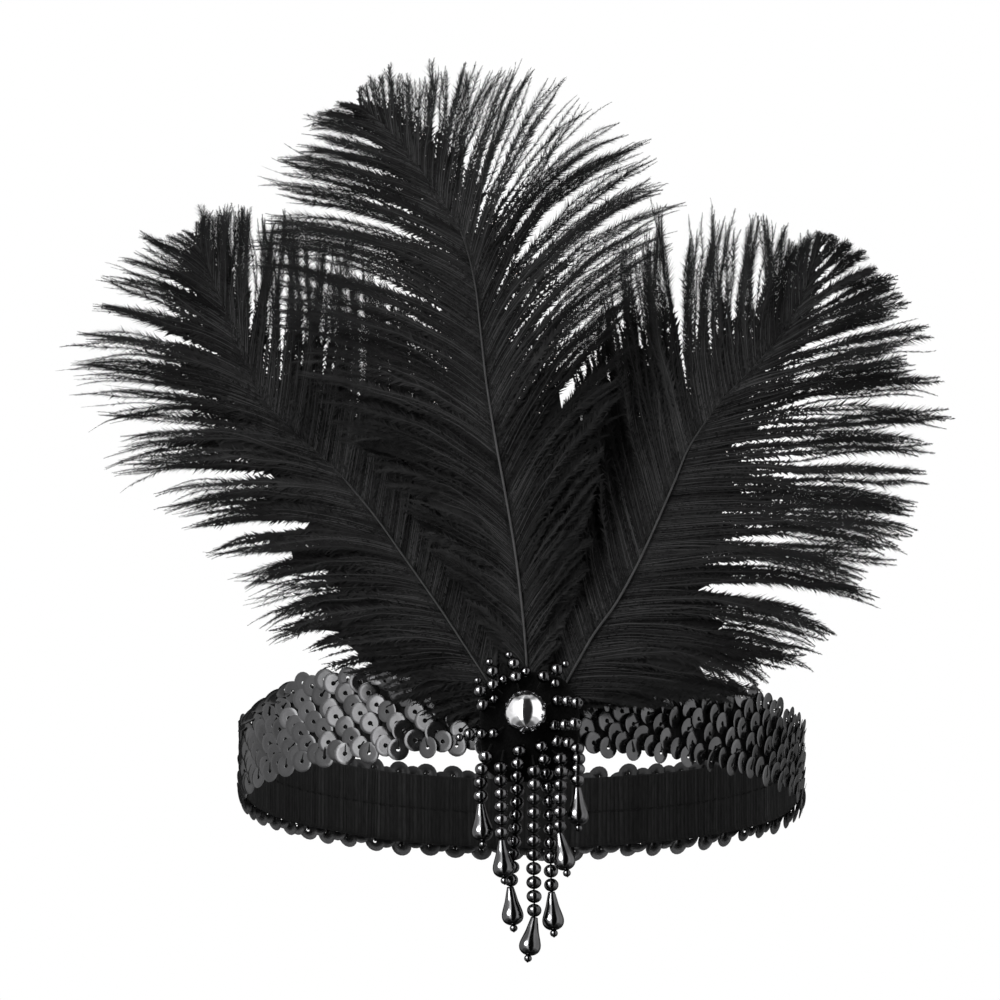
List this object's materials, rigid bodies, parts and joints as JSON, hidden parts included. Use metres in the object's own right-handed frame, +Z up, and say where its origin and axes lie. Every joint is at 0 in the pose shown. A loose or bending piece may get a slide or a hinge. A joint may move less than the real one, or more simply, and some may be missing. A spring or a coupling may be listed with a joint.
{
  "type": "feather headband",
  "caption": "Elastic sequin headband with curled plumes standing at the front behind a round beaded brooch with hanging bead strands that end in drops.",
  "frame": {"origin": "centre of the elastic ring, half way up the band, where the wearer's head goes through it", "axes": "+Z up along the ring's axis and the plumes; the front, with the plumes and the brooch, faces -Y; +X is to the right seen from the front"},
  "size_m": [0.2471, 0.18, 0.2567],
  "materials": {
    "elastic": "matte ribbed elastic",
    "sequin": "satin plastic sequins",
    "feather": "soft plume barbs",
    "felt": "matte felt",
    "bead": "dark gunmetal gloss"
  },
  "bodies": {
    "root": {"elastic_band": "elastic", "sequin_cover": "sequin", "plume_left": "feather", "plume_centre": "feather", "plume_right": "feather", "brooch_pad": "felt", "centre_bead": "bead", "ray_1": "bead", "ray_2": "bead", "ray_3": "bead", "ray_4": "bead", "ray_5": "bead", "ray_6": "bead", "ray_7": "bead", "foot_bead_1": "bead", "foot_bead_2": "bead", "foot_bead_3": "bead", "foot_bead_4": "bead", "strand_1": "bead", "strand_2": "bead", "strand_3": "bead", "strand_4": "bead", "strand_5": "bead", "strand_6": "bead", "strand_7": "bead", "drop_1": "bead", "drop_2": "bead", "drop_3": "bead", "drop_4": "bead", "drop_5": "bead", "drop_6": "bead", "drop_7": "bead", "stop_bead_1": "bead", "stop_bead_2": "bead", "stop_bead_3": "bead", "stop_bead_4": "bead", "stop_bead_5": "bead", "stop_bead_6": "bead", "stop_bead_7": "bead"}
  },
  "joints": []
}
